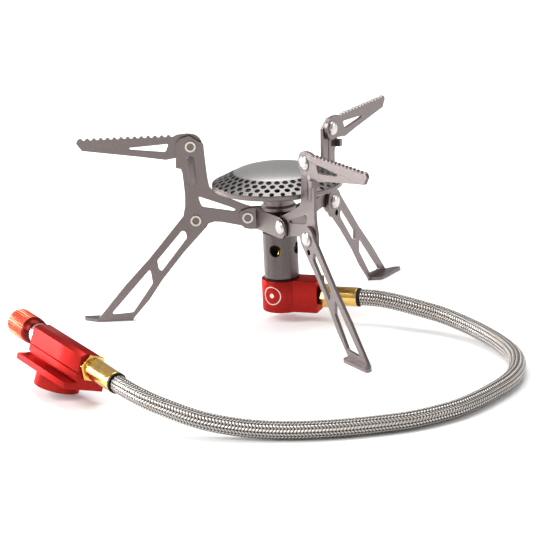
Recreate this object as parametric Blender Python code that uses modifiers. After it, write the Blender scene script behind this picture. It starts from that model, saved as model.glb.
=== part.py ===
"""Remote-canister camping stove: folding three-leg burner, braided hose and canister valve.

World frame: origin on the burner axis at floor level, +Z up, metres.
"""

import math

import bmesh
import bpy
from mathutils import Matrix, Vector

MM = 0.001

# Burner column and base
COLUMN_R = 8.0
COLUMN_WALL = 1.2
NECK_R = 6.3
NECK_Z = (41.9, 52.2)
COLUMN_Z = (20.5, 52.2)
AIR_HOLE_R = 2.85
AIR_HOLE_Z = 34.2
PORT_AZIMUTH = -18.6
BASE_Z = (5.0, 19.9)
BASE_R = 9.4
BASE_HALF_WIDTH = 6.2
BASE_REACH = 18.5
PORT_Z = 12.0

# Burner head
HEAD_R = 30.0
CAP_R = 29.2
CAP_FLAT_R = 19.5
CAP_TOP_Z = 73.2

# Leg set: plates stand side by side, offset from the burner axis
LEG_AZIMUTHS = {"left": 180.0, "front": 300.0, "rear": 60.0}
INNER_EAR = (3.2, 4.4)
ARM_LAYER = (4.7, 6.2)
OUTER_EAR = (6.5, 7.7)
OUTER_LAYER = (6.5, 8.0)
PIVOT_ARM = (14.4, 47.8)
PIVOT_LEG = (38.3, 47.1)
PIVOT_SUPPORT = (39.0, 82.0)
RIVET_R = 1.7
RIVET_HEAD_R = 3.4
HOLE_PLAY = 0.05
TOOTH_PITCH = 3.1
TOOTH_DEPTH = 0.9
TOOTH_COUNT = 14

# Hose
HOSE_R = 3.75
HOSE_ROUTE = [
    (35.82, -12.05, 12.0), (39.3, -13.3, 12.0), (45.0, -15.7, 11.8), (53.1, -20.8, 11.1),
    (61.8, -26.8, 9.9), (70.5, -32.6, 8.5), (78.8, -40.8, 7.0), (86.9, -51.6, 5.6), (93.4, -63.8, 4.7),
    (98.3, -77.8, 4.1), (99.8, -91.2, 3.85), (98.0, -106.1, 3.85), (93.2, -118.9, 3.85),
    (87.4, -128.6, 3.85), (80.0, -138.9, 3.85), (71.5, -148.4, 3.85), (63.1, -154.8, 3.85),
    (54.8, -159.6, 3.85), (46.6, -162.9, 3.85), (30.4, -166.5, 3.85), (14.4, -168.1, 3.85),
    (-1.6, -167.3, 3.9), (-17.6, -164.8, 4.9), (-33.8, -160.6, 7.4), (-50.4, -151.2, 11.1),
    (-58.9, -144.6, 13.3), (-64.9, -138.25, 14.85), (-67.75, -133.73, 15.22),
]

# Canister valve, laid out along its own axis
VALVE_ORIGIN = Vector((-101.24, -80.87, 19.56))
VALVE_ALONG = Vector((0.5338, -0.8428, -0.0692)).normalized()
VALVE_ACROSS = Vector((0.7995, 0.5297, -0.2831)).normalized()
VALVE_BODY = (-2.5, 40.6)
KNOB = (-26.2, -13.4, -8.4)
KNOB_R = 6.1
KNOB_RIDGES = 30
BOSS_R = 9.85
BOSS_AT = (19.0, -1.74)
BOSS_DOWN = (10.0, 15.96)


def clear_scene():
    for old in list(bpy.data.objects):
        bpy.data.objects.remove(old)


def new_collection(name, hidden=False):
    made = bpy.data.collections.new(name)
    bpy.context.scene.collection.children.link(made)
    made.hide_render = hidden
    return made


def material(name, colour, metallic, roughness):
    made = bpy.data.materials.new(name)
    made.use_nodes = True
    shader = made.node_tree.nodes["Principled BSDF"]
    shader.inputs["Base Color"].default_value = (*colour, 1.0)
    shader.inputs["Metallic"].default_value = metallic
    shader.inputs["Roughness"].default_value = roughness
    return made


def frame(origin, x_axis, y_axis):
    """Matrix that takes local millimetres along x, y, z to the world in metres."""
    x = Vector(x_axis).normalized()
    z = x.cross(Vector(y_axis)).normalized()
    y = z.cross(x)
    placed = Matrix((x, y, z)).transposed().to_4x4()
    placed.translation = Vector(origin) * MM
    return placed


def place(name, mesh, matrix, look=None, cutter=False):
    obj = bpy.data.objects.new(name, mesh)
    obj.matrix_world = matrix
    (CUTTERS if cutter else STOVE).objects.link(obj)
    if cutter:
        obj.hide_render = True
        obj.display_type = "WIRE"
    if look:
        mesh.materials.clear()
        mesh.materials.append(material(name, *look))
    return obj


def mesh_of(obj):
    """Evaluated mesh of a helper object, welded; the helper is removed."""
    STOVE.objects.link(obj)
    bpy.context.view_layer.update()
    graph = bpy.context.evaluated_depsgraph_get()
    made = bpy.data.meshes.new_from_object(obj.evaluated_get(graph))
    bpy.data.objects.remove(obj)
    work = bmesh.new()
    work.from_mesh(made)
    bmesh.ops.remove_doubles(work, verts=work.verts, dist=1e-6)
    bmesh.ops.recalc_face_normals(work, faces=work.faces)
    work.to_mesh(made)
    work.free()
    return made


def plate(loops, low, high, edge=0.0):
    """Flat plate from closed outlines (the first is the outside) between two heights on local Z."""
    curve = bpy.data.curves.new("outline", "CURVE")
    curve.dimensions = "2D"
    curve.fill_mode = "BOTH"
    curve.extrude = ((high - low) / 2 - edge) * MM
    curve.bevel_depth = edge * MM
    curve.offset = -edge * MM
    curve.bevel_resolution = 1
    for loop in loops:
        line = curve.splines.new("POLY")
        line.points.add(len(loop) - 1)
        for point, (x, y) in zip(line.points, loop):
            point.co = (x * MM, y * MM, 0.0, 1.0)
        line.use_cyclic_u = True
    made = mesh_of(bpy.data.objects.new("outline", curve))
    made.transform(Matrix.Translation((0, 0, (low + high) / 2 * MM)))
    return made


def lathe(profile, steps=48):
    """Solid of revolution about local Z from a closed (radius, height) outline."""
    mesh = bpy.data.meshes.new("profile")
    corners = [(r * MM, 0.0, z * MM) for r, z in profile]
    edges = [(i, (i + 1) % len(corners)) for i in range(len(corners))]
    mesh.from_pydata(corners, edges, [])
    obj = bpy.data.objects.new("profile", mesh)
    screw = obj.modifiers.new("turn", "SCREW")
    screw.steps = steps
    screw.render_steps = steps
    screw.use_merge_vertices = True
    screw.merge_threshold = 0.000001
    made = mesh_of(obj)
    return made


def circle(x, y, r, steps=24):
    turn = 2 * math.pi / steps
    return [(x + r * math.cos(turn * i), y + r * math.sin(turn * i)) for i in range(steps)]


def arc(x, y, r, start, end, steps):
    """Points on a circle from one angle to another, in degrees."""
    turn = math.radians(end - start) / steps
    first = math.radians(start)
    return [(x + r * math.cos(first + turn * i), y + r * math.sin(first + turn * i)) for i in range(steps + 1)]


def rounded(loop, radius, steps=3):
    """Outline with each corner cut by a quadratic round of about the given size."""
    out = []
    count = len(loop)
    for i in range(count):
        corner = Vector(loop[i])
        before = Vector(loop[i - 1]) - corner
        after = Vector(loop[(i + 1) % count]) - corner
        reach = min(radius, before.length * 0.45, after.length * 0.45)
        first = corner + before.normalized() * reach
        last = corner + after.normalized() * reach
        for k in range(steps + 1):
            t = k / steps
            spot = first * (1 - t) ** 2 + corner * 2 * t * (1 - t) + last * t**2
            out.append((spot.x, spot.y))
    return out


def moved(loop, pivot):
    return [(x - pivot[0], y - pivot[1]) for x, y in loop]


def join(obj, tool, operation="UNION"):
    """Apply a Boolean with a tool object and keep the tool out of the scene."""
    change = obj.modifiers.new("shape", "BOOLEAN")
    change.operation = operation
    change.solver = "EXACT"
    change.object = tool
    bpy.context.view_layer.update()
    graph = bpy.context.evaluated_depsgraph_get()
    made = bpy.data.meshes.new_from_object(obj.evaluated_get(graph))
    obj.modifiers.remove(change)
    obj.data = made
    bpy.data.objects.remove(tool)
    work = bmesh.new()
    work.from_mesh(made)
    bmesh.ops.remove_doubles(work, verts=work.verts, dist=2e-6)
    bmesh.ops.dissolve_degenerate(work, edges=work.edges, dist=1e-6)
    work.to_mesh(made)
    work.free()


clear_scene()
STOVE = new_collection("canister_stove")
CUTTERS = new_collection("canister_stove_cutters", hidden=True)

RED = ((0.55, 0.02, 0.025), 0.6, 0.3)
TITANIUM = ((0.30, 0.285, 0.27), 0.9, 0.38)
STEEL = ((0.5, 0.48, 0.46), 0.95, 0.25)
BRASS = ((0.72, 0.50, 0.18), 1.0, 0.2)
RUBBER = ((0.02, 0.02, 0.02), 0.0, 0.5)
BRAID = ((0.6, 0.59, 0.58), 0.9, 0.35)

UPRIGHT = frame((0, 0, 0), (1, 0, 0), (0, 1, 0))

# ---- base block -------------------------------------------------------------------------
port = math.radians(PORT_AZIMUTH)
PORT_DIR = Vector((math.cos(port), math.sin(port), 0))
BASE_FRAME = frame((0, 0, 0), PORT_DIR, Vector((0, 0, 1)).cross(PORT_DIR))
base = place("base", plate([circle(0, 0, BASE_R, 48)], *BASE_Z, edge=0.4), BASE_FRAME, RED)
block_outline = [(0, -BASE_HALF_WIDTH), (BASE_REACH, -BASE_HALF_WIDTH)]
block_outline += [(BASE_REACH, BASE_HALF_WIDTH), (0, BASE_HALF_WIDTH)]
block = place("block", plate([block_outline], BASE_Z[0] + 0.02, BASE_Z[1] - 0.02, edge=0.4), BASE_FRAME)
join(base, block)

# ---- column, seal and jet ---------------------------------------------------------------
seal = lathe([(6.2, 20.0), (8.3, 20.0), (8.3, 20.4), (6.2, 20.4)])
place("seal_ring", seal, UPRIGHT, RUBBER)
low, high = COLUMN_Z
bore = COLUMN_R - COLUMN_WALL
column_profile = [(bore, low), (COLUMN_R - 0.3, low), (COLUMN_R, low + 0.3), (COLUMN_R, NECK_Z[0] - 0.4)]
column_profile += [(COLUMN_R - 0.4, NECK_Z[0]), (NECK_R, NECK_Z[0]), (NECK_R, high), (NECK_R - 0.9, high)]
column_profile += [(NECK_R - 0.9, NECK_Z[0] - 1.0), (bore, NECK_Z[0] - 2.0)]
column = place("column", lathe(column_profile, 64), UPRIGHT, TITANIUM)
for quarter in (0, 90):
    side = math.radians(PORT_AZIMUTH - 90 + quarter)
    across = frame((0, 0, AIR_HOLE_Z), (-math.sin(side), math.cos(side), 0), (0, 0, 1))
    drill = place("drill", plate([circle(0, 0, AIR_HOLE_R)], -12, 12), across, cutter=True)
    join(column, drill, "DIFFERENCE")
jet_profile = [(0, 20.2), (5.0, 20.2), (5.0, 22.4), (3.0, 23.0), (3.0, 28.6), (1.3, 31.4), (1.3, 32.4), (0, 32.4)]
place("jet", lathe(jet_profile, 24), UPRIGHT, BRASS)

# ---- burner head ------------------------------------------------------------------------
bowl_profile = [
    (6.3, 52.6), (8.1, 52.6), (8.1, 54.0), (7.05, 55.0), (7.05, 57.6), (8.2, 58.9), (14.0, 60.6),
    (22.0, 61.9), (28.6, 62.9), (HEAD_R, 63.6), (HEAD_R, 65.2), (29.5, 65.2), (29.5, 64.1),
    (28.2, 63.7), (21.8, 62.9), (13.8, 61.6), (8.0, 60.2), (6.3, 58.6),
]
place("burner_bowl", lathe(bowl_profile, 72), UPRIGHT, TITANIUM)
cap_profile = [
    (0, CAP_TOP_Z), (6.0, 73.0), (12.0, 72.3), (16.5, 71.35), (CAP_FLAT_R, 70.3), (24.6, 68.0),
    (CAP_R, 65.5), (CAP_R, 64.6), (28.6, 64.6), (24.2, 67.1), (19.2, 69.4), (12.0, 71.4), (0, 72.3),
]
place("burner_cap", lathe(cap_profile, 72), UPRIGHT, TITANIUM)

# ---- leg set ----------------------------------------------------------------------------
DETENT_AT = (39.5, 41.4)
DETENT_R = 1.4
ear_loop = [(0, 42.3), (13.5, 42.3), (15.9, 42.9), (17.5, 44.3), (18.3, 46.2), (18.3, 49.4)]
ear_loop += [(17.2, 51.0), (14.0, 52.2), (0, 52.2)]
arm_loop = [
    (46.2, 72.2), (45.9, 76.9), (45.5, 83.5), (43.5, 85.8), (40.8, 86.6), (38.9, 86.7), (33.0, 82.7),
    (32.9, 80.0), (32.3, 70.3), (31.8, 65.5), (31.3, 62.7), (29.5, 60.3), (24.4, 57.7), (15.5, 53.5),
    (12.3, 52.4),
]
arm_loop += arc(PIVOT_ARM[0], PIVOT_ARM[1], 4.6, 110, 290, 10)
arm_loop += [(26.4, 45.9), (29.6, 46.2), (32.4, 45.5)]
arm_loop += arc(PIVOT_LEG[0], PIVOT_LEG[1], 5.6, 205, 250, 3)
arm_loop += arc(DETENT_AT[0], DETENT_AT[1], 2.4, 200, 350, 8)
arm_loop += arc(PIVOT_LEG[0], PIVOT_LEG[1], 5.6, 310, 340, 2)
arm_loop += [(43.9, 50.0), (42.9, 54.2), (42.7, 59.0), (42.9, 63.7), (43.3, 69.8), (43.9, 71.7)]
arm_window = rounded([(36.8, 58.6), (35.3, 53.3), (20.6, 50.6), (19.6, 51.4), (21.5, 52.6)], 1.3)
leg_loop = arc(PIVOT_LEG[0], PIVOT_LEG[1], 6.0, 18, 216, 14)
leg_loop += [(44.3, 32.2), (55.2, 19.2), (61.8, 9.8), (69.6, 1.2), (70.2, 0.0), (86.6, 0.0), (85.6, 2.0)]
leg_loop += [(73.0, 16.6), (60.6, 29.5)]
leg_upper_window = [(44.9, 42.3), (43.3, 41.3), (42.9, 38.5), (55.6, 22.8), (56.8, 24.1), (57.3, 28.3)]
leg_lower_window = [(61.2, 24.0), (60.5, 23.3), (59.9, 17.4), (69.9, 3.6), (79.0, 3.0), (79.6, 4.0)]
FOOT_THICK = 1.4
foot_loop = rounded([(70.2, 6.6), (86.6, 6.6), (92.6, 9.9), (93.2, 12.8), (73.0, 12.8)], 2.0)
teeth = []
for index in range(TOOTH_COUNT):
    crest = 89.6 - index * TOOTH_PITCH
    teeth += [(crest, 87.2), (crest - 0.9, 87.2), (crest - 1.5, 87.2 - TOOTH_DEPTH)]
    teeth += [(crest - 2.4, 87.2 - TOOTH_DEPTH)]
support_loop = [(88.7, 81.7), (91.2, 85.3), (90.4, 86.8), *teeth, (45.0, 87.2), (40.5, 87.6)]
support_loop += arc(PIVOT_SUPPORT[0], PIVOT_SUPPORT[1], 5.4, 95, 295, 12)
support_loop += [(47.4, 76.3), (50.6, 75.8), (62.4, 77.8)]
support_window = rounded([(67.2, 82.2), (49.0, 83.3), (50.6, 79.3), (66.8, 81.2)], 0.9)


def rivet_profile(tail, face, head):
    """Rivet along local Z: hollow flared tail, plain shank, domed head."""
    return [
        (1.65, tail), (2.5, tail), (2.5, tail + 0.55), (RIVET_R, tail + 0.65), (RIVET_R, face),
        (RIVET_HEAD_R, face), (RIVET_HEAD_R - 0.1, face + 0.45), (2.6, head - 0.3), (1.5, head - 0.05),
        (0, head), (0, tail + 0.4), (1.65, tail + 0.4),
    ]


def leg_frame(azimuth, pivot):
    turn = math.radians(azimuth)
    outward = Vector((math.cos(turn), math.sin(turn), 0))
    spot = outward * pivot[0]
    return frame((spot.x, spot.y, pivot[1]), outward, (0, 0, 1))


def leg_part(name, side, pivot, loops, layer, hole_at, look):
    """Plate of one leg with its origin on its own pivot axis."""
    holes = [circle(x, y, RIVET_R + HOLE_PLAY, 20) for x, y in hole_at]
    outlines = [moved(loop, pivot) for loop in [*loops, *holes]]
    return place(f"{name}_{side}", plate(outlines, *layer), leg_frame(LEG_AZIMUTHS[side], pivot), look)


# Three bent strips round the neck: each is one leg's outer ear and the next leg's inner ear.
collar_ring = [(NECK_R + 0.05, 42.3), (7.2, 42.3), (7.2, 52.2), (NECK_R + 0.05, 52.2)]
collar = place("collar", lathe(collar_ring, 64), UPRIGHT, STEEL)
for side, azimuth in LEG_AZIMUTHS.items():
    for start, layer in ((6.0, INNER_EAR), (-8.0, OUTER_EAR)):
        inset = [(x or start, min(max(y, 42.35), 52.15)) for x, y in ear_loop]
        eye = circle(*PIVOT_ARM, RIVET_R + HOLE_PLAY, 20)
        ear = place("ear", plate([inset, eye], *layer), leg_frame(azimuth, (0, 0)))
        join(collar, ear)

for side, azimuth in LEG_AZIMUTHS.items():
    arm = leg_part("arm", side, PIVOT_ARM, [arm_loop, arm_window], ARM_LAYER,
                   [PIVOT_ARM, PIVOT_LEG, PIVOT_SUPPORT], TITANIUM)
    tab = moved([(43.6, 72.3), (46.1, 72.3), (46.1, 75.5), (43.6, 75.5)], PIVOT_ARM)
    join(arm, place("tab", plate([tab], 5.0, 8.9), leg_frame(azimuth, PIVOT_ARM)))
    leg = leg_part("leg", side, PIVOT_LEG, [leg_loop, rounded(leg_upper_window, 0.9),
                   rounded(leg_lower_window, 0.9), circle(*DETENT_AT, DETENT_R, 16)], OUTER_LAYER, [PIVOT_LEG], TITANIUM)
    turn = math.radians(azimuth)
    outward = Vector((math.cos(turn), math.sin(turn), 0))
    sole = frame(outward * PIVOT_LEG[0], outward, (math.sin(turn), -math.cos(turn), 0))
    foot = place("foot", plate([moved(foot_loop, (PIVOT_LEG[0], 0))], -FOOT_THICK, 0.0), sole)
    join(leg, foot)
    support = leg_part("support", side, PIVOT_SUPPORT, [support_loop, support_window], OUTER_LAYER,
                       [PIVOT_SUPPORT], TITANIUM)
    place(f"arm_rivet_{side}", lathe(rivet_profile(2.4, 7.8, 9.1), 24), leg_frame(azimuth, PIVOT_ARM), STEEL)
    place(f"leg_rivet_{side}", lathe(rivet_profile(3.9, 8.1, 9.5), 24), leg_frame(azimuth, PIVOT_LEG), STEEL)
    place(f"support_rivet_{side}", lathe(rivet_profile(3.9, 8.1, 9.5), 24),
          leg_frame(azimuth, PIVOT_SUPPORT), STEEL)


# ---- hose and its fittings --------------------------------------------------------------
def along(origin, direction, up=(0, 0, 1)):
    """Frame whose local Z runs along a direction."""
    z = Vector(direction).normalized()
    x = Vector(up).cross(z).normalized()
    return frame(origin, x, z.cross(x))


def hexagon(corner_r, turn):
    first = math.radians(turn)
    step = math.pi / 3
    return [(corner_r * math.cos(first + step * i), corner_r * math.sin(first + step * i)) for i in range(6)]


PORT_FRAME = along((0, 0, PORT_Z), PORT_DIR)
place("port_seal", lathe([(0, 18.6), (4.3, 18.6), (4.3, 19.5), (0, 19.5)], 32), PORT_FRAME, RUBBER)
port_fitting = place("port_fitting", plate([hexagon(5.6, 0)], 19.6, 24.2, edge=0.3), PORT_FRAME, BRASS)
sleeve = [(0, 23.8), (3.9, 23.8), (3.9, 25.2), (4.5, 25.6), (4.45, 36.2), (4.2, 36.5), (0, 36.5)]
join(port_fitting, place("sleeve", lathe(sleeve, 32), PORT_FRAME))
place("port_end_ring", lathe([(0, 36.6), (4.35, 36.6), (4.35, 37.4), (0, 37.4)], 32), PORT_FRAME, RUBBER)


def catmull(points, pieces):
    """Smooth route through the given points."""
    route = [Vector(p) for p in points]
    route = [route[0] * 2 - route[1], *route, route[-1] * 2 - route[-2]]
    out = []
    for i in range(1, len(route) - 2):
        a, b, c, d = route[i - 1: i + 3]
        for k in range(pieces):
            t = k / pieces
            out.append((b * 2 + (c - a) * t + (a * 2 - b * 5 + c * 4 - d) * t**2
                        + (b * 3 - a - c * 3 + d) * t**3) / 2)
    out.append(route[-2])
    return out


hose_curve = bpy.data.curves.new("hose", "CURVE")
hose_curve.dimensions = "3D"
hose_curve.bevel_depth = HOSE_R * MM
hose_curve.bevel_resolution = 3
hose_curve.use_fill_caps = True
hose_line = hose_curve.splines.new("POLY")
hose_points = catmull(HOSE_ROUTE, 2)
hose_line.points.add(len(hose_points) - 1)
for point, spot in zip(hose_line.points, hose_points):
    point.co = (*(spot * MM), 1.0)
place("hose", mesh_of(bpy.data.objects.new("hose", hose_curve)), UPRIGHT, BRAID)

# ---- canister valve ---------------------------------------------------------------------
# Local X runs across the valve, local Y up, local Z from the knob to the hose.
VALVE_FRAME = frame(VALVE_ORIGIN, VALVE_ACROSS, VALVE_ALONG.cross(VALVE_ACROSS))
body_loop = [
    (-6.46, -4.3), (-4.3, -5.7), (1.0, -5.95), (3.8, -4.6), (5.2, -2.6), (5.2, 6.3), (5.8, 7.0),
    (7.5, 7.7), (7.5, 10.17), (-11.6, 10.17), (-11.6, 7.6), (-8.0, 7.3), (-5.6, 6.9), (-5.6, 6.3),
    (-6.46, 6.1), (-6.46, 3.4), (-5.9, 3.1), (-6.46, 2.8),
]
valve_body = place("valve_body", plate([[(x, -y) for x, y in body_loop]], *VALVE_BODY, edge=0.15), VALVE_FRAME, RED)
boss_loop = circle(0, 0, BOSS_R, 48)
BOSS_SPOT = VALVE_ORIGIN + VALVE_ALONG * BOSS_AT[0] + VALVE_ACROSS * BOSS_AT[1]
DOWN_FRAME = frame(BOSS_SPOT, VALVE_ACROSS, VALVE_ALONG)
join(valve_body, place("boss", plate([boss_loop], BOSS_DOWN[0] - 0.8, BOSS_DOWN[1], edge=0.5), DOWN_FRAME))
socket = place("socket", plate([circle(0, 0, 5.6, 32)], 8.0, 20.0), DOWN_FRAME, cutter=True)
join(valve_body, socket, "DIFFERENCE")
gland = [(0, -8.1), (4.6, -8.1), (4.8, -7.9), (4.8, -2.7), (0, -2.7)]
place("valve_gland", lathe(gland, 32), VALVE_FRAME, STEEL)
knob_top, knob_edge, knob_end = KNOB
ridges = []
for index in range(KNOB_RIDGES):
    for share, reach in ((0.0, KNOB_R), (0.35, KNOB_R), (0.55, KNOB_R - 0.35), (0.8, KNOB_R - 0.35)):
        turn = 2 * math.pi * (index + share) / KNOB_RIDGES
        ridges.append((reach * math.cos(turn), reach * math.sin(turn)))
knob = place("valve_knob", plate([ridges], knob_top, knob_edge, edge=0.35), VALVE_FRAME, RED)
skirt = [(0, knob_edge - 3), (4.5, knob_edge - 3), (KNOB_R - 0.1, knob_edge - 0.2), (KNOB_R - 0.1, knob_edge + 1.2)]
skirt += [(5.5, knob_end - 0.9), (4.9, knob_end), (0, knob_end)]
join(knob, place("skirt", lathe(skirt, 48), VALVE_FRAME))
valve_fitting = place("valve_fitting", plate([hexagon(6.3, 57)], 40.9, 42.3, edge=0.25), VALVE_FRAME, BRASS)
sleeve = [(0, 42.0), (4.0, 42.0), (4.0, 42.9), (4.75, 43.2), (4.5, 60.9), (4.3, 61.2), (0, 61.2)]
join(valve_fitting, place("sleeve", lathe(sleeve, 32), VALVE_FRAME))
place("valve_end_ring", lathe([(0, 61.3), (4.45, 61.3), (4.45, 62.3), (0, 62.3)], 32), VALVE_FRAME, RUBBER)

for made in STOVE.objects:
    made.data.name = made.name
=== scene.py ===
"""Visual model of the remote-canister stove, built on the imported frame."""

import math  # noqa: E402

import bmesh  # noqa: E402
import bpy  # noqa: E402
from mathutils import Matrix, Vector  # noqa: E402


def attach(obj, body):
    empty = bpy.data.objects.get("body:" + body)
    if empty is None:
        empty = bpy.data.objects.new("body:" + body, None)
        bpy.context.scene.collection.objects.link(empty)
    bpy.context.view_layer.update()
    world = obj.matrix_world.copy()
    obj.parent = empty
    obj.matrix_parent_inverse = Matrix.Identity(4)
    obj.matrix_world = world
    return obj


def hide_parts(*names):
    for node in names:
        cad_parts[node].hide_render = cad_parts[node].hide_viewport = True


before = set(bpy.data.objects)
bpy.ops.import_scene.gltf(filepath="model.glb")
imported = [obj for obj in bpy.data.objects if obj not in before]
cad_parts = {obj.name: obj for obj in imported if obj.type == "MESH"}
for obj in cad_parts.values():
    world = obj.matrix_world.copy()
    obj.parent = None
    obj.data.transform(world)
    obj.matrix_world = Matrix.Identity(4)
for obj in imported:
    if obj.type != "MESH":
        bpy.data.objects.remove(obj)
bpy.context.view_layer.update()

MM = 0.001
SIDES = ("left", "front", "rear")

# ---- camera -----------------------------------------------------------------------------
CAMERA_AT = Vector((0.01403, -1.15037, 0.34775))
CAMERA_AIM = Vector((-0.0171, 0.9626, -0.2704))
CAMERA_ROLL = -2.745
CAMERA_LENS = 174.95

camera_data = bpy.data.cameras.new("camera")
camera_data.lens = CAMERA_LENS
camera_data.sensor_width = 36
camera_data.clip_end = 20
camera = bpy.data.objects.new("camera", camera_data)
bpy.context.scene.collection.objects.link(camera)
turned = CAMERA_AIM.to_track_quat("-Z", "Y").to_matrix().to_4x4()
rolled = Matrix.Rotation(math.radians(CAMERA_ROLL), 4, "Z")
camera.matrix_world = Matrix.Translation(CAMERA_AT) @ turned @ rolled
bpy.context.scene.camera = camera


# ---- meshes -----------------------------------------------------------------------------
def take_mesh(name, work):
    """The mesh of a finished bmesh, which is then freed."""
    mesh = bpy.data.meshes.new(name)
    work.to_mesh(mesh)
    work.free()
    return mesh


def link_mesh(name, mesh, look=None):
    """An object of that mesh in the scene, with the look as its only material."""
    made = bpy.data.objects.new(name, mesh)
    bpy.context.scene.collection.objects.link(made)
    if look:
        mesh.materials.clear()
        mesh.materials.append(look)
    return made


# ---- materials --------------------------------------------------------------------------
NOISE_SPREAD = (0.3, 0.7)


class Look:
    """A Principled material with a few helpers for its procedural nodes."""

    def __init__(self, name, colour, metallic, roughness):
        self.made = bpy.data.materials.new(name)
        self.made.use_nodes = True
        self.tree = self.made.node_tree
        self.shader = self.tree.nodes["Principled BSDF"]
        self.set("Base Color", (*colour, 1.0))
        self.set("Metallic", metallic)
        self.set("Roughness", roughness)

    def set(self, socket, value):
        self.shader.inputs[socket].default_value = value

    def node(self, kind, **values):
        made = self.tree.nodes.new(kind)
        for key, value in values.items():
            if key in made.inputs:
                made.inputs[key].default_value = value
            else:
                setattr(made, key, value)
        return made

    def link(self, source, target):
        self.tree.links.new(source, target)

    def math(self, operation, first, second=None):
        made = self.node("ShaderNodeMath", operation=operation)
        for socket, value in zip(made.inputs, (first, second)):
            if value is None:
                continue
            if isinstance(value, (int, float)):
                socket.default_value = value
            else:
                self.link(value, socket)
        return made.outputs[0]

    def noise(self, scale, detail=3.0):
        where = self.node("ShaderNodeTexCoord")
        made = self.node("ShaderNodeTexNoise", Scale=scale, Detail=detail)
        self.link(where.outputs["Object"], made.inputs["Vector"])
        return made.outputs["Fac"]

    def ramp(self, value, low, high):
        """Value mapped from the noise's usual spread onto low to high."""
        made = self.node("ShaderNodeMapRange")
        made.inputs["From Min"].default_value = NOISE_SPREAD[0]
        made.inputs["From Max"].default_value = NOISE_SPREAD[1]
        made.inputs["To Min"].default_value = low
        made.inputs["To Max"].default_value = high
        self.link(value, made.inputs["Value"])
        return made.outputs[0]

    def rough(self, scale, low, high):
        self.link(self.ramp(self.noise(scale), low, high), self.shader.inputs["Roughness"])

    def bump(self, height, strength, distance):
        made = self.node("ShaderNodeBump", Strength=strength, Distance=distance)
        self.link(height, made.inputs["Height"])
        self.link(made.outputs[0], self.shader.inputs["Normal"])

    def tint(self, factor, low, high):
        mixed = self.node("ShaderNodeMix", data_type="RGBA")
        self.link(factor, mixed.inputs["Factor"])
        mixed.inputs[6].default_value = (*low, 1.0)
        mixed.inputs[7].default_value = (*high, 1.0)
        self.link(mixed.outputs[2], self.shader.inputs["Base Color"])


def titanium():
    look = Look("titanium", (0.18, 0.165, 0.158), 1.0, 0.36)
    look.tint(look.ramp(look.noise(1500, 4), 0, 1), (0.165, 0.139, 0.135), (0.202, 0.171, 0.165))
    look.rough(1900, 0.33, 0.39)
    look.bump(look.noise(3600, 2), 0.05, 0.0001)
    return look.made


# Painted shade: a darker copy of the titanium, for the column in the shade under the burner bowl.
def titanium_in_shade():
    look = Look("titanium_in_shade", (0.12, 0.108, 0.102), 1.0, 0.36)
    look.tint(look.ramp(look.noise(1500, 4), 0, 1), (0.105, 0.089, 0.086), (0.135, 0.115, 0.111))
    look.rough(1900, 0.32, 0.38)
    return look.made


def steel():
    look = Look("steel", (0.72, 0.69, 0.66), 1.0, 0.24)
    look.rough(800, 0.18, 0.3)
    look.bump(look.noise(1800, 2), 0.06, 0.0002)
    return look.made


def brass():
    look = Look("brass", (0.83, 0.6, 0.25), 1.0, 0.2)
    look.tint(look.ramp(look.noise(300, 3), 0, 1), (0.68, 0.42, 0.10), (0.80, 0.53, 0.17))
    look.rough(700, 0.14, 0.26)
    return look.made


def rubber():
    look = Look("rubber", (0.006, 0.006, 0.006), 0.0, 0.6)
    look.rough(900, 0.55, 0.75)
    look.set("Specular IOR Level", 0.25)
    return look.made


def red(name, low=(0.25, 0.009, 0.007), high=(0.36, 0.018, 0.014)):
    look = Look(name, low, 0.8, 0.34)
    look.tint(look.ramp(look.noise(1800, 3), 0, 1), low, high)
    look.rough(1800, 0.30, 0.38)
    look.bump(look.noise(3400, 2), 0.06, 0.0001)
    look.set("Specular Tint", (1.0, 0.22, 0.18, 1.0))
    look.set("Coat Weight", 0.06)
    look.set("Coat Roughness", 0.12)
    return look


BRAID_ROWS = 14
BRAID_PITCH = 1.38
BRAID_SLANT = 0.85
BRAID_ROUND = 3.2
WIRES_PER_STROKE = 3
WIRE_RELIEF = 0.08
GAP_SHADE = (0.15, 0.85)


def braid():
    """Woven stainless braid: rows of short slanted strokes whose slant turns over from row to row."""
    look = Look("braid", (0.6, 0.59, 0.58), 1.0, 0.3)
    where = look.node("ShaderNodeUVMap", uv_map="braid")
    parts = look.node("ShaderNodeSeparateXYZ")
    look.link(where.outputs[0], parts.inputs[0])
    rows = look.math("MULTIPLY", parts.outputs[1], BRAID_ROWS)
    across = look.math("SUBTRACT", look.math("FRACT", rows), 0.5)
    odd = look.math("MODULO", look.math("FLOOR", rows), 2.0)
    side = look.math("SUBTRACT", 1.0, look.math("MULTIPLY", odd, 2.0))
    slant = look.math("MULTIPLY", look.math("MULTIPLY", across, side), BRAID_SLANT)
    stroke = look.math("ADD", look.math("DIVIDE", parts.outputs[0], BRAID_PITCH), slant)
    crest = look.math("ABSOLUTE", look.math("SINE", look.math("MULTIPLY", stroke, math.pi)))
    wide = look.math("MULTIPLY", look.math("MULTIPLY", across, across), BRAID_ROUND)
    row = look.math("SUBTRACT", 1.0, wide)
    height = look.math("MULTIPLY", look.math("POWER", crest, 0.8), row)
    fine = look.math("MULTIPLY", stroke, WIRES_PER_STROKE * math.pi)
    wires = look.math("ABSOLUTE", look.math("SINE", fine))
    relief = look.math("ADD", height, look.math("MULTIPLY", wires, WIRE_RELIEF))
    look.bump(relief, 1.0, 0.0004)
    # Painted shade: the colour darkens to near black in the low gaps between the strokes, while the crests
    # keep the pale steel.
    shade = look.node("ShaderNodeMapRange")
    look.link(height, shade.inputs["Value"])
    shade.inputs["From Min"].default_value = GAP_SHADE[0]
    shade.inputs["From Max"].default_value = GAP_SHADE[1]
    look.tint(shade.outputs[0], (0.026, 0.021, 0.018), (0.62, 0.575, 0.535))
    return look.made


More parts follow.
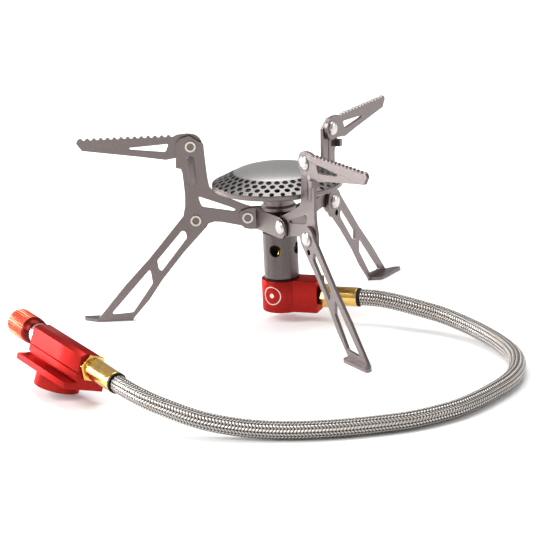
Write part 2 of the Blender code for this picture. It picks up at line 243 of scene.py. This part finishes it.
# ---- pieces carried over with fine edges ------------------------------------------------
WELD_GAP = 3e-6
FLAT_ANGLE = 1.0


def dress(node, body, look, edge=0.15, angle=32.0):
    """The CAD node's own shape, welded, with small rounded edges and a procedural finish."""
    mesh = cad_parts[node].data.copy()
    mesh.name = node + "_fine"
    work = bmesh.new()
    work.from_mesh(mesh)
    bmesh.ops.remove_doubles(work, verts=work.verts, dist=WELD_GAP)
    bmesh.ops.dissolve_limit(work, angle_limit=math.radians(FLAT_ANGLE), verts=work.verts, edges=work.edges)
    for face in work.faces:
        face.smooth = True
    work.to_mesh(mesh)
    work.free()
    if mesh.attributes.get("custom_normal"):
        mesh.attributes.remove(mesh.attributes["custom_normal"])
    mesh.set_sharp_from_angle(angle=math.radians(angle))
    made = link_mesh(node + "_fine", mesh, look)
    if edge:
        bevel = made.modifiers.new("edge", "BEVEL")
        bevel.width = edge * MM
        bevel.segments = 2
        bevel.limit_method = "ANGLE"
        bevel.angle_limit = math.radians(angle)
        bevel.harden_normals = True
    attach(made, body)
    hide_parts(node)
    return made


TITANIUM = titanium()
SHADE_TITANIUM = titanium_in_shade()
STEEL = steel()
BRASS = brass()
RUBBER = rubber()
RED = red("red_anodised").made


KNOB_AT = Vector((-0.10124, -0.08087, 0.01956))
KNOB_AXIS = Vector((0.5338, -0.8428, -0.0692))
SKIRT_START = 13.3


def knob_red():
    """Brighter red on the ridged grip; on the smooth skirt nearer the valve a darker red that is painted
    shade.
    """
    look = red("red_knob", (0.66, 0.10, 0.06), (0.76, 0.14, 0.09))
    where = look.node("ShaderNodeTexCoord")
    along = look.node("ShaderNodeVectorMath", operation="DOT_PRODUCT")
    look.link(where.outputs["Object"], along.inputs[0])
    along.inputs[1].default_value = KNOB_AXIS
    skirt_shade_on = look.math("GREATER_THAN", along.outputs["Value"], KNOB_AXIS.dot(KNOB_AT) - SKIRT_START * MM)
    grip = look.shader.inputs["Base Color"].links[0].from_socket
    shaded = look.node("ShaderNodeMix", data_type="RGBA")
    look.link(skirt_shade_on, shaded.inputs["Factor"])
    look.link(grip, shaded.inputs[6])
    # Painted shade: near-black red over the skirt, past the grip's end.
    shaded.inputs[7].default_value = (0.10, 0.004, 0.003, 1.0)
    look.link(shaded.outputs[2], look.shader.inputs["Base Color"])
    return look.made


LEG_TURN = {"left": 180.0, "front": 300.0, "rear": 60.0}
PIVOTS = {"arm_rivet": (14.4, 47.8), "leg_rivet": (38.3, 47.1), "support_rivet": (39.0, 82.0)}
RIVET_MIDDLE = 6.4
RECESS_R = 1.68
RIVET_STEEL = (0.56, 0.535, 0.51)
# Brown painted shade for the rivet tail's recess.
RECESS_PAINTED_SHADE = (0.17, 0.13, 0.105)


def beside(side):
    """The way a rivet's head faces: square to the flat of that side's arm."""
    turn = math.radians(LEG_TURN[side])
    return Vector((math.sin(turn), -math.cos(turn), 0))


def leg_point(side, reach, height, offset):
    """The place that lies so many millimetres out from the burner axis, up, and beside the leg plane."""
    turn = math.radians(LEG_TURN[side])
    outward = Vector((math.cos(turn), math.sin(turn), 0))
    return (outward * reach + Vector((0, 0, height)) + beside(side) * offset) * MM


def rivet(kind, body, side):
    """A tubular rivet: bright domed head, and brown painted shade in the recess of the rolled tail."""
    name = f"{kind}_{side}"
    middle = leg_point(side, *PIVOTS[kind], RIVET_MIDDLE)
    look = Look("steel_" + name, RIVET_STEEL, 1.0, 0.3)
    look.rough(800, 0.24, 0.36)
    look.bump(look.noise(1800, 2), 0.06, 0.0002)
    where = look.node("ShaderNodeTexCoord")
    offset = look.node("ShaderNodeVectorMath", operation="SUBTRACT")
    look.link(where.outputs["Object"], offset.inputs[0])
    offset.inputs[1].default_value = middle
    along = look.node("ShaderNodeVectorMath", operation="DOT_PRODUCT")
    look.link(offset.outputs[0], along.inputs[0])
    along.inputs[1].default_value = beside(side)
    whole = look.node("ShaderNodeVectorMath", operation="LENGTH")
    look.link(offset.outputs[0], whole.inputs[0])
    squares = [look.math("MULTIPLY", out, out) for out in (whole.outputs["Value"], along.outputs["Value"])]
    from_axis = look.math("SUBTRACT", *squares)
    inside = look.math("LESS_THAN", from_axis, (RECESS_R * MM) ** 2)
    tail = look.math("LESS_THAN", along.outputs["Value"], 0.0)
    # Painted shade: brown inside the recess radius on the tail side.
    look.tint(look.math("MULTIPLY", inside, tail), RIVET_STEEL, RECESS_PAINTED_SHADE)
    dress(name, body, look.made, 0, 50)


for side in SIDES:
    dress(f"arm_{side}", f"arm_{side}", TITANIUM)
    dress(f"leg_{side}", f"leg_{side}", TITANIUM)
    dress(f"support_{side}", f"support_{side}", TITANIUM, 0.12)
    rivet("arm_rivet", "stove", side)
    rivet("leg_rivet", f"arm_{side}", side)
    rivet("support_rivet", f"arm_{side}", side)

# The column takes the darker titanium, which is painted shade.
dress("column", "stove", SHADE_TITANIUM, 0.12)
dress("collar", "stove", TITANIUM, 0.12)
dress("burner_bowl", "stove", TITANIUM, 0, 25)
dress("jet", "stove", BRASS, 0.1)
dress("valve_gland", "stove", STEEL, 0.1)
dress("port_fitting", "stove", BRASS, 0.1)
dress("valve_fitting", "stove", BRASS, 0.1)
dress("valve_body", "stove", RED, 0.12, 28)
dress("valve_knob", "knob", knob_red(), 0.05, 25)
for ring in ("seal_ring", "port_seal", "port_end_ring", "valve_end_ring"):
    dress(ring, "stove", RUBBER, 0.1)

# ---- pressed rib on each arm -------------------------------------------------------------
RIB_PATH = ((39.0, 65.6), (39.5, 75.6))
RIB_R = 1.9
RIB_RISE = 0.22
RIB_SHARP = 60
END_STEPS = 24
ARM_FACES = (4.7, 6.2)


def rib(side, face, rise):
    """Low rounded pad along the upright of an arm, on the face at that offset."""
    low, high = (Vector(point) for point in RIB_PATH)
    outline = []
    for end, start in ((low, 180), (high, 0)):
        for i in range(END_STEPS + 1):
            angle = math.radians(start + i * 180 / END_STEPS)
            outline.append((end.x + RIB_R * math.cos(angle), end.y + RIB_R * math.sin(angle)))
    middle = (low + high) / 2
    work = bmesh.new()
    rings = []
    for shrink, lift in ((0.0, -0.1), (0.0, 0.0), (0.12, 0.6), (0.35, 1.0)):
        ring = []
        for x, y in outline:
            inward = (middle - Vector((x, y))).normalized() * shrink
            offset = face + rise * lift
            ring.append(work.verts.new(leg_point(side, x + inward.x, y + inward.y, offset)))
        rings.append(ring)
    for a, b in zip(rings, rings[1:]):
        for i in range(len(a)):
            j = (i + 1) % len(a)
            work.faces.new((a[i], a[j], b[j], b[i]))
    work.faces.new(rings[0])
    work.faces.new(rings[-1])
    bmesh.ops.recalc_face_normals(work, faces=work.faces)
    for one in work.faces:
        one.smooth = True
    name = f"rib_{side}_{'outer' if rise > 0 else 'inner'}"
    made = link_mesh(name, take_mesh(name, work), TITANIUM)
    made.data.set_sharp_from_angle(angle=math.radians(RIB_SHARP))
    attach(made, f"arm_{side}")


for side in SIDES:
    rib(side, ARM_FACES[1], RIB_RISE)
    rib(side, ARM_FACES[0], -RIB_RISE)

# ---- base block with a plain ring mark --------------------------------------------------
MARK_AZIMUTH = -121.5
MARK_Z = 13.2
MARK_R = 4.1
MARK_LINE = 0.22
MARK_DOT_R = 1.1
MARK_FROM = 5.0


def marked_red():
    """Red of the base block, with a pale ring and dot on its front."""
    facing = math.radians(MARK_AZIMUTH)
    look = red("red_base")
    where = look.node("ShaderNodeTexCoord")
    sideways = look.node("ShaderNodeVectorMath", operation="DOT_PRODUCT")
    look.link(where.outputs["Object"], sideways.inputs[0])
    sideways.inputs[1].default_value = (-math.sin(facing), math.cos(facing), 0)
    frontal = look.node("ShaderNodeVectorMath", operation="DOT_PRODUCT")
    look.link(where.outputs["Object"], frontal.inputs[0])
    frontal.inputs[1].default_value = (math.cos(facing), math.sin(facing), 0)
    parts = look.node("ShaderNodeSeparateXYZ")
    look.link(where.outputs["Object"], parts.inputs[0])
    upward = look.math("SUBTRACT", parts.outputs[2], MARK_Z * MM)
    squares = [look.math("MULTIPLY", value, value) for value in (sideways.outputs["Value"], upward)]
    away = look.math("SQRT", look.math("ADD", *squares))
    ring_gap = look.math("ABSOLUTE", look.math("SUBTRACT", away, MARK_R * MM))
    ring_on = look.math("LESS_THAN", ring_gap, MARK_LINE * MM)
    dot_on = look.math("LESS_THAN", away, MARK_DOT_R * MM)
    front_on = look.math("GREATER_THAN", frontal.outputs["Value"], MARK_FROM * MM)
    mark_on = look.math("MULTIPLY", look.math("MAXIMUM", ring_on, dot_on), front_on)
    tinted = look.shader.inputs["Base Color"].links[0].from_socket
    marked = look.node("ShaderNodeMix", data_type="RGBA")
    look.link(mark_on, marked.inputs["Factor"])
    look.link(tinted, marked.inputs[6])
    marked.inputs[7].default_value = (0.75, 0.55, 0.52, 1.0)
    look.link(marked.outputs[2], look.shader.inputs["Base Color"])
    return look.made


dress("base", "stove", marked_red(), 0.1)


# ---- perforated cap ---------------------------------------------------------------------
def lathe(name, profile, steps):
    """Closed solid of revolution about the burner axis from (radius, height) points."""
    work = bmesh.new()
    rings = []
    for radius, height in profile:
        count = 1 if radius == 0 else steps
        ring = []
        for i in range(count):
            turn = 2 * math.pi * i / steps
            spot = Vector((radius * math.cos(turn), radius * math.sin(turn), height))
            ring.append(work.verts.new(spot * MM))
        rings.append(ring)
    for a, b in zip(rings, rings[1:]):
        for i in range(steps):
            j = (i + 1) % steps
            corners = [a[i % len(a)], a[j % len(a)], b[j % len(b)], b[i % len(b)]]
            unique = list(dict.fromkeys(corners))
            if len(unique) > 2:
                work.faces.new(unique)
    bmesh.ops.recalc_face_normals(work, faces=work.faces)
    return take_mesh(name, work)


CAP_PROFILE = [
    (0, 73.15), (3.0, 73.1), (6.0, 72.97), (9.0, 72.7), (12.0, 72.3), (14.5, 71.85), (17.0, 71.2),
    (18.8, 70.6), (19.4, 70.33), (19.8, 70.12), (22.0, 69.1), (24.6, 67.85), (27.0, 66.65),
    (28.8, 65.72), (29.15, 65.45), (29.2, 65.1), (29.0, 64.9), (28.5, 65.05), (24.2, 67.15), (19.2, 69.5),
    (12.0, 71.4), (0, 72.3),
]
CAP_TOP_R = 19.6
CAP_STEPS = 144
CAP_SHARP = 30


def cap_titanium():
    """Paler pressed top, and a darker cone where the gas holes are; the cone's darkness is painted shade.
    """
    look = Look("cap_titanium", (0.3, 0.29, 0.285), 1.0, 0.43)
    where = look.node("ShaderNodeTexCoord")
    parts = look.node("ShaderNodeSeparateXYZ")
    look.link(where.outputs["Object"], parts.inputs[0])
    squares = [look.math("MULTIPLY", value, value) for value in parts.outputs[:2]]
    # Painted shade: the cone outside the top's radius is tinted darker than the top.
    outer = look.math("GREATER_THAN", look.math("ADD", *squares), (CAP_TOP_R * MM) ** 2)
    speckle = look.ramp(look.noise(1500, 4), 0, 0.12)
    mixed = look.math("MAXIMUM", look.math("MULTIPLY", outer, 0.95), speckle)
    look.tint(mixed, (0.33, 0.322, 0.316), (0.19, 0.181, 0.177))
    look.rough(1900, 0.40, 0.47)
    look.bump(look.noise(3600, 2), 0.05, 0.0001)
    return look.made


HOLE_ROWS = (20.9, 23.4, 25.9, 28.15)
HOLES_PER_ROW = 36
HOLE_R = 1.32
HOLE_SIDES = 14
RIM_ROW = 3
RIM_ROW_SCALE = 0.84
CONE_TOP = (20.4, 69.8)
CONE_FALL = 0.49
CONE_SLOPE = 26
DRILL_DEPTH = 3.0
DRILL_SINK = 0.3


def gas_hole_drills():
    """One object of all the drills, each square to the cone at its gas hole; the rim's row is finer."""
    drills = bmesh.new()
    slope = Matrix.Rotation(math.radians(CONE_SLOPE), 4, "Y")
    for row, radius in enumerate(HOLE_ROWS):
        height = CONE_TOP[1] - (radius - CONE_TOP[0]) * CONE_FALL
        spot = Matrix.Translation((radius * MM, 0, (height - DRILL_SINK) * MM))
        size = HOLE_R * (RIM_ROW_SCALE if row == RIM_ROW else 1.0) * MM
        for index in range(HOLES_PER_ROW):
            turn = 2 * math.pi * (index + 0.5 * (row % 2)) / HOLES_PER_ROW
            placed = Matrix.Rotation(turn, 4, "Z") @ spot @ slope
            bmesh.ops.create_cone(drills, cap_ends=True, segments=HOLE_SIDES, radius1=size, radius2=size,
                                  depth=DRILL_DEPTH * MM, matrix=placed)
    return link_mesh("drills", take_mesh("drills", drills))


cap = link_mesh("cap_fine", lathe("cap_fine", CAP_PROFILE, CAP_STEPS), cap_titanium())
drill = gas_hole_drills()
cut = cap.modifiers.new("holes", "BOOLEAN")
cut.object = drill
cut.operation = "DIFFERENCE"
cut.solver = "EXACT"
bpy.context.view_layer.update()
cap_mesh = bpy.data.meshes.new_from_object(cap.evaluated_get(bpy.context.evaluated_depsgraph_get()))
cap.modifiers.remove(cut)
cap.data = cap_mesh
bpy.data.objects.remove(drill)
for polygon in cap_mesh.polygons:
    polygon.use_smooth = True
cap_mesh.set_sharp_from_angle(angle=math.radians(CAP_SHARP))
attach(cap, "stove")
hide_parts("burner_cap")

# ---- braided hose -----------------------------------------------------------------------
HOSE_R = 3.75
HOSE_INSET = 0.05
HOSE_SIDES = 32
ROUTE_PIECES = 8
HOSE_ROUTE = [
    (35.82, -12.05, 12.0), (39.3, -13.3, 12.0), (45.0, -15.7, 11.8), (53.1, -20.8, 11.1),
    (61.8, -26.8, 9.9), (70.5, -32.6, 8.5), (78.8, -40.8, 7.0), (86.9, -51.6, 5.6), (93.4, -63.8, 4.7),
    (98.3, -77.8, 4.1), (99.8, -91.2, 3.85), (98.0, -106.1, 3.85), (93.2, -118.9, 3.85),
    (87.4, -128.6, 3.85), (80.0, -138.9, 3.85), (71.5, -148.4, 3.85), (63.1, -154.8, 3.85),
    (54.8, -159.6, 3.85), (46.6, -162.9, 3.85), (30.4, -166.5, 3.85), (14.4, -168.1, 3.85),
    (-1.6, -167.3, 3.9), (-17.6, -164.8, 4.9), (-33.8, -160.6, 7.4), (-50.4, -151.2, 11.1),
    (-58.9, -144.6, 13.3), (-64.9, -138.25, 14.85), (-67.75, -133.73, 15.22),
]


def smooth_route(points, pieces):
    """Catmull-Rom curve through the points, with that many pieces from each point to the next."""
    route = [Vector(p) for p in points]
    route = [route[0] * 2 - route[1], *route, route[-1] * 2 - route[-2]]
    out = []
    for i in range(1, len(route) - 2):
        a, b, c, d = route[i - 1: i + 3]
        for k in range(pieces):
            t = k / pieces
            out.append((b * 2 + (c - a) * t + (a * 2 - b * 5 + c * 4 - d) * t**2
                        + (b * 3 - a - c * 3 + d) * t**3) / 2)
    out.append(route[-2])
    return out


def tube(name, points, radius, sides, look):
    """Tube along a route, with a UV map of length in mm and turns about the route."""
    work = bmesh.new()
    uv = work.loops.layers.uv.new("braid")
    up = Vector((0, 0, 1))
    rings = []
    length = 0.0
    lengths = []
    for i, point in enumerate(points):
        ahead = points[min(i + 1, len(points) - 1)] - points[max(i - 1, 0)]
        across = up.cross(ahead).normalized()
        top = ahead.cross(across).normalized()
        if i:
            length += (point - points[i - 1]).length
        lengths.append(length)
        ring = []
        for k in range(sides):
            turn = 2 * math.pi * k / sides
            spoke = across * math.cos(turn) + top * math.sin(turn)
            ring.append(work.verts.new((point + spoke * radius) * MM))
        rings.append(ring)
    for i in range(len(rings) - 1):
        for k in range(sides):
            j = (k + 1) % sides
            face = work.faces.new((rings[i][k], rings[i][j], rings[i + 1][j], rings[i + 1][k]))
            face.smooth = True
            places = ((lengths[i], k), (lengths[i], k + 1), (lengths[i + 1], k + 1), (lengths[i + 1], k))
            for loop, (along, step) in zip(face.loops, places):
                loop[uv].uv = (along, step / sides)
    work.faces.new(rings[0])
    work.faces.new(rings[-1][::-1])
    bmesh.ops.recalc_face_normals(work, faces=work.faces)
    return link_mesh(name, take_mesh(name, work), look)


hose_points = smooth_route(HOSE_ROUTE, ROUTE_PIECES)
hose = tube("hose_braid", hose_points, HOSE_R - HOSE_INSET, HOSE_SIDES, braid())
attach(hose, "stove")
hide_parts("hose")

# ---- floor and light --------------------------------------------------------------------
FLOOR_DROP = 0.05
floor_mesh = bpy.data.meshes.new("floor")
floor_mesh.from_pydata([(-4, -3, 0), (4, -3, 0), (4, 6, 0), (-4, 6, 0)], [], [(0, 1, 2, 3)])
floor_look = Look("floor", (0.93, 0.93, 0.93), 0.0, 0.6)
floor_look.rough(8, 0.55, 0.65)
floor = link_mesh("floor", floor_mesh, floor_look.made)
floor.location.z = -FLOOR_DROP * MM


LIGHTS_AIM = Vector((0, -0.05, 0.05))


def softbox(name, at, size, power):
    """A soft rectangular light that faces the stove."""
    light = bpy.data.lights.new(name, "AREA")
    light.shape = "RECTANGLE"
    light.size = size[0]
    light.size_y = size[1]
    light.energy = power
    made = bpy.data.objects.new(name, light)
    bpy.context.scene.collection.objects.link(made)
    made.location = at
    made.rotation_euler = (LIGHTS_AIM - Vector(at)).to_track_quat("-Z", "Y").to_euler()


softbox("key", (-1.2, -0.5, 0.9), (0.8, 0.9), 22)
softbox("left", (-1.2, 0.75, 0.22), (0.9, 0.42), 26)
softbox("top", (0.0, 0.35, 1.6), (1.4, 0.9), 22)
softbox("right", (1.4, 0.2, 0.5), (0.5, 0.7), 5)

world = bpy.data.worlds.new("studio")
bpy.context.scene.world = world
world.use_nodes = True
sky = world.node_tree.nodes["Background"]
sky.inputs["Color"].default_value = (1, 1, 1, 1)
sky.inputs["Strength"].default_value = 0.5
bpy.context.scene.view_settings.view_transform = "Standard"
